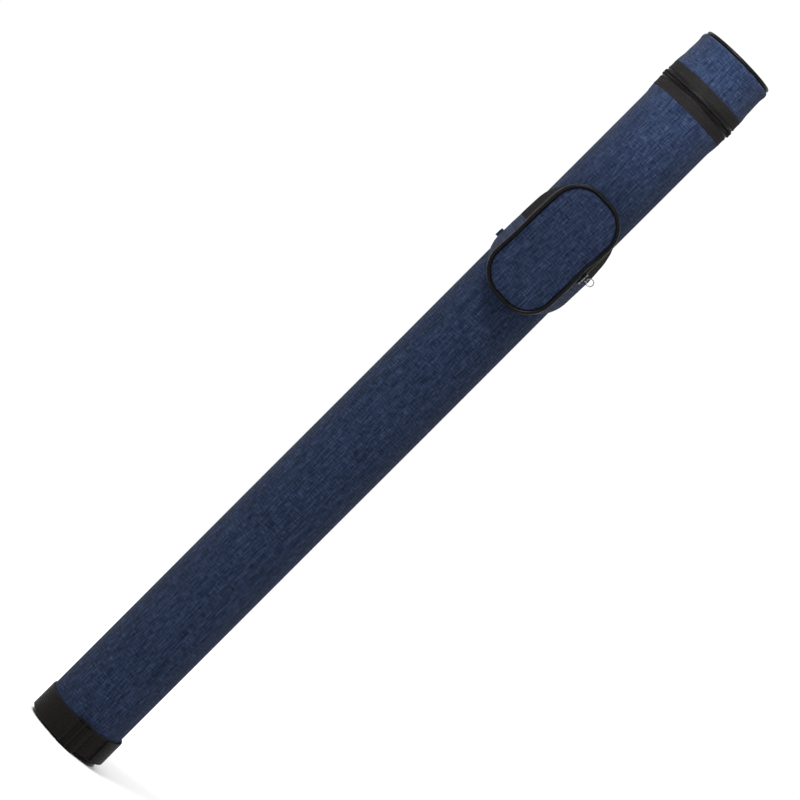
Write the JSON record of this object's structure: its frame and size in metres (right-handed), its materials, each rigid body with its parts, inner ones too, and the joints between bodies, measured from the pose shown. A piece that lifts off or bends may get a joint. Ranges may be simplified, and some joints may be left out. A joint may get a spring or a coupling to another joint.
{
  "type": "zip-lidded tube carry case",
  "caption": "Slim rigid fabric-covered tube case with a zip-round hinged lid, front accessory pocket, foot strap loop and back webbing strap.",
  "frame": {"origin": "centre of the foot face, on the tube's axis", "axes": "+Z along the tube towards the lid, -Y out of the pocket's front, +Y towards the lid hinge and the strap"},
  "size_m": [0.0912, 0.1015, 0.84],
  "materials": {
    "navy_fabric": "cross-hatch melange weave",
    "piping": "ribbed woven piping",
    "board": "matt",
    "foam": "brushed",
    "tube_shell": "matt",
    "plush_lining": "short pile",
    "binding": "ribbed tape",
    "zip_tape": "herringbone tape",
    "zip_coil": "satin nylon coil",
    "slider_metal": "gunmetal enamel",
    "pull_rubber": "matt",
    "webbing": "ribbed polypropylene webbing",
    "glide_plastic": "moulded"
  },
  "bodies": {
    "tube": {"foot_panel": "navy_fabric", "foot_board": "board", "foot_piping": "piping", "foot_pad": "foam", "core_tube": "tube_shell", "tube_lining": "plush_lining", "body_cover": "navy_fabric", "mouth_binding": "binding", "zip_tape_body": "zip_tape", "zip_coil_body": "zip_coil", "hinge_strip_body": "navy_fabric", "pocket_gusset": "navy_fabric", "pocket_gusset_flanks": "zip_tape", "pocket_panel": "navy_fabric", "pocket_piping": "piping", "pocket_zip_tape_rear": "zip_tape", "pocket_zip_coil_rear": "zip_coil", "side_tab": "navy_fabric", "foot_loop": "webbing", "strap_lead": "webbing", "strap_back": "webbing", "strap_patch": "navy_fabric"},
    "lid": {"lid_core": "tube_shell", "lid_lining": "plush_lining", "lid_cover": "navy_fabric", "lid_binding": "binding", "lid_board": "board", "lid_panel": "navy_fabric", "lid_piping": "piping", "lid_pad": "foam", "zip_tape_lid": "zip_tape", "zip_coil_lid": "zip_coil", "hinge_strip_lid": "navy_fabric"},
    "main_slider": {"main_slider": "slider_metal"},
    "main_pull": {"main_pull": "pull_rubber"},
    "flap": {"flap_panel": "navy_fabric", "flap_piping": "piping", "pocket_zip_tape_front": "zip_tape", "pocket_zip_coil_front": "zip_coil"},
    "pocket_slider": {"pocket_slider": "slider_metal"},
    "ring_pull": {"pocket_ring": "slider_metal"},
    "glide": {"tri_glide": "glide_plastic", "glide_fold": "webbing"}
  },
  "joints": [
    {"name": "lid_hinge", "type": "hinge", "parent": "tube", "child": "lid", "pos_m": [0, 0.0396, 0.7874], "axis": [-1, 0, 0], "range_deg": [0, 140]},
    {"name": "main_slider_travel", "type": "hinge", "parent": "tube", "child": "main_slider", "pos_m": [0, 0, 0.7874], "axis": [0, 0, 1], "range_deg": [-262, 0]},
    {"name": "main_pull_swing", "type": "hinge", "parent": "main_slider", "child": "main_pull", "pos_m": [0.03442, 0.02992, 0.7874], "axis": [0.6561, -0.7547, 0], "range_deg": [0, 120]},
    {"name": "pocket_flap_fold", "type": "hinge", "parent": "tube", "child": "flap", "pos_m": [0.00165, -0.0609, 0.608], "axis": [0.9995, 0, -0.0332], "range_deg": [0, 100]},
    {"name": "pocket_slider_travel", "type": "slide", "parent": "tube", "child": "pocket_slider", "axis": [0.0332, 0, 0.9995], "range_m": [0, 0.026]},
    {"name": "ring_pull_swing", "type": "hinge", "parent": "pocket_slider", "child": "ring_pull", "pos_m": [0.04002, -0.0485, 0.60673], "axis": [0.0332, 0, 0.9995], "range_deg": [-45, 45]},
    {"name": "tri_glide_shift", "type": "hinge", "parent": "tube", "child": "glide", "pos_m": [0, 0, 0.0154], "axis": [0, 0, 1], "range_deg": [-20, 14]}
  ]
}
